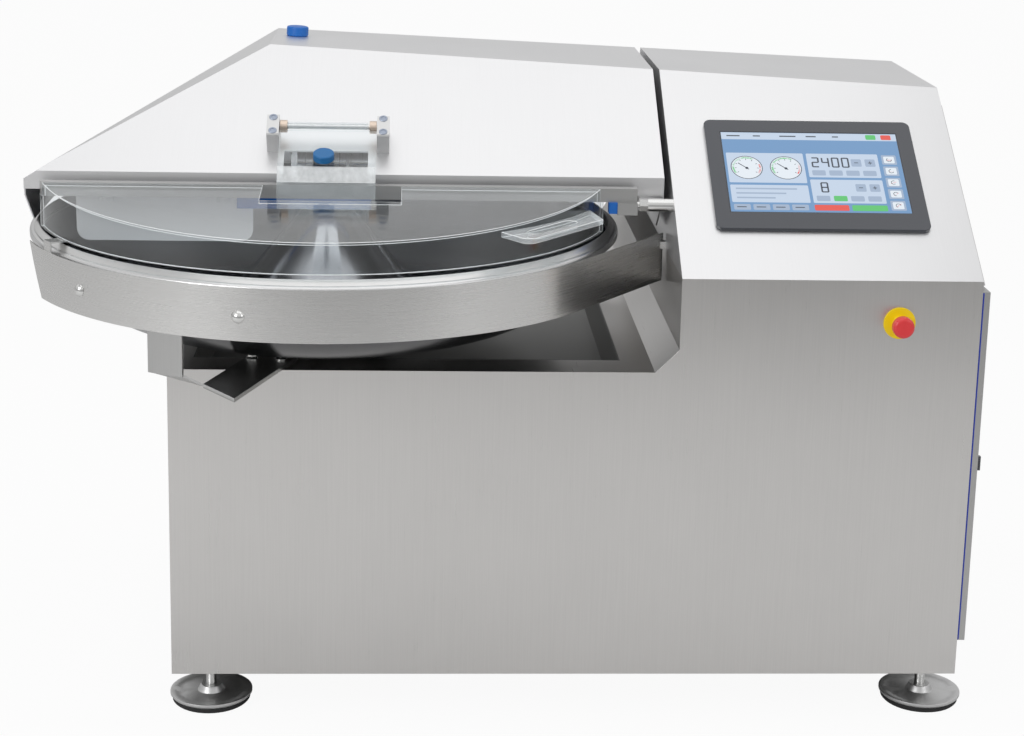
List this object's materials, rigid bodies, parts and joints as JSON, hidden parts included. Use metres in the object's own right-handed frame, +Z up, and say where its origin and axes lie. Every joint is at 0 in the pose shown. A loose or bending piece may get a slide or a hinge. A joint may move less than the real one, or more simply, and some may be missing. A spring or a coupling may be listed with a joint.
{
  "type": "meat bowl cutter",
  "caption": "Floor-standing meat bowl cutter: turning ring bowl, folding knife hood with filling flap, clear lid, sloped console with screen and stop button on a stainless cabinet.",
  "frame": {"origin": "middle of the footprint's bounding box, on the floor", "axes": "+X to the console side (the operator's right), +Y to the back, +Z up"},
  "size_m": [1.836, 1.2199, 1.2423],
  "materials": {
    "brushed_stainless": "fine brushed grain, satin",
    "polished_steel": "polished",
    "cast_steel": "machined, slightly rough",
    "frame_steel": "satin",
    "motor_grey": "semi-matt paint",
    "clear_plastic": "clear polycarbonate, glossy",
    "blue_plastic": "satin",
    "grey_plastic": "satin",
    "dark_plastic": "satin",
    "screen_glass": "glossy",
    "yellow_plastic": "satin",
    "red_plastic": "semi-gloss",
    "bronze": "satin",
    "black_rubber": "matt",
    "blue_rubber": "matt"
  },
  "bodies": {
    "machine": {"base_cabinet": "brushed_stainless", "console_housing": "brushed_stainless", "deck_tray": "brushed_stainless", "deck_apron": "brushed_stainless", "base_frame": "frame_steel", "foot_discs": "polished_steel", "foot_pads": "black_rubber", "foot_studs": "polished_steel", "side_cover_upper": "brushed_stainless", "rear_panel": "brushed_stainless", "bowl_bearing_housing": "cast_steel", "bowl_bearings": "polished_steel", "bowl_gearmotor": "motor_grey", "knife_bearing_housing": "brushed_stainless", "knife_bearings": "polished_steel", "bearing_pedestal": "frame_steel", "drive_belt": "black_rubber", "knife_motor": "motor_grey", "inverter_unit": "motor_grey", "guard_band": "brushed_stainless", "guard_bolts": "polished_steel", "guard_bracket": "brushed_stainless", "guard_arm": "brushed_stainless", "hood_bearing": "cast_steel", "lid_pivot_tube": "polished_steel", "screen_bezel": "dark_plastic", "screen_display": "screen_glass", "estop_collar": "yellow_plastic", "door_hinges": "polished_steel"},
    "bowl_set": {"bowl": "polished_steel", "bowl_hub": "cast_steel", "bowl_shaft": "cast_steel"},
    "knife_set": {"knife_blades": "polished_steel", "knife_head": "polished_steel", "knife_shaft": "cast_steel", "knife_pulley": "cast_steel"},
    "motor_rotor": {"motor_pulley": "cast_steel"},
    "hood": {"hood_shell": "brushed_stainless", "hood_baffle": "grey_plastic", "hood_scraper": "blue_plastic", "hood_shaft": "polished_steel", "hood_buffer": "blue_plastic", "flap_blocks": "brushed_stainless", "flap_screws": "polished_steel", "flap_rod": "polished_steel"},
    "flap": {"flap_sheet": "clear_plastic", "flap_bushings": "bronze", "flap_knob": "blue_plastic"},
    "lid": {"lid_shell": "clear_plastic", "lid_bar": "brushed_stainless", "lid_bush": "blue_plastic", "lid_handle": "clear_plastic"},
    "estop": {"estop_button": "red_plastic"},
    "door": {"side_door": "brushed_stainless", "door_gasket": "blue_rubber"},
    "latch": {"door_latch": "dark_plastic"}
  },
  "joints": [
    {"name": "bowl_spin", "type": "hinge", "parent": "machine", "child": "bowl_set", "pos_m": [-0.341, -0.02, 0.7], "axis": [0, 0, 1], "continuous": true},
    {"name": "knife_spin", "type": "hinge", "parent": "machine", "child": "knife_set", "pos_m": [-0.341, 0.308, 0.95], "axis": [1, 0, 0], "continuous": true},
    {"name": "motor_spin", "type": "hinge", "parent": "machine", "child": "motor_rotor", "pos_m": [0.649, -0.06, 0.345], "axis": [1, 0, 0], "continuous": true},
    {"name": "hood_open", "type": "hinge", "parent": "machine", "child": "hood", "pos_m": [0.281, 0.575, 0.918], "axis": [-1, 0, 0], "range_deg": [0, 70]},
    {"name": "flap_lift", "type": "hinge", "parent": "hood", "child": "flap", "pos_m": [-0.335, -0.1164, 1.0955], "axis": [-1, 0, 0], "range_deg": [0, 150]},
    {"name": "lid_open", "type": "hinge", "parent": "machine", "child": "lid", "pos_m": [0.234, -0.22, 0.971], "axis": [-1, 0, 0], "range_deg": [0, 98]},
    {"name": "estop_press", "type": "slide", "parent": "machine", "child": "estop", "axis": [0, 1, 0], "range_m": [0, 0.004]},
    {"name": "door_swing", "type": "hinge", "parent": "machine", "child": "door", "pos_m": [0.893, 0.522, 0.5], "axis": [0, 0, 1], "range_deg": [0, 110]},
    {"name": "door_latch_turn", "type": "hinge", "parent": "door", "child": "latch", "pos_m": [0.902, -0.33, 0.4965], "axis": [1, 0, 0], "range_deg": [0, 90]}
  ],
  "couplings": [
    {"joint": "motor_spin", "follows": "knife_spin", "ratio": 0.70833}
  ]
}
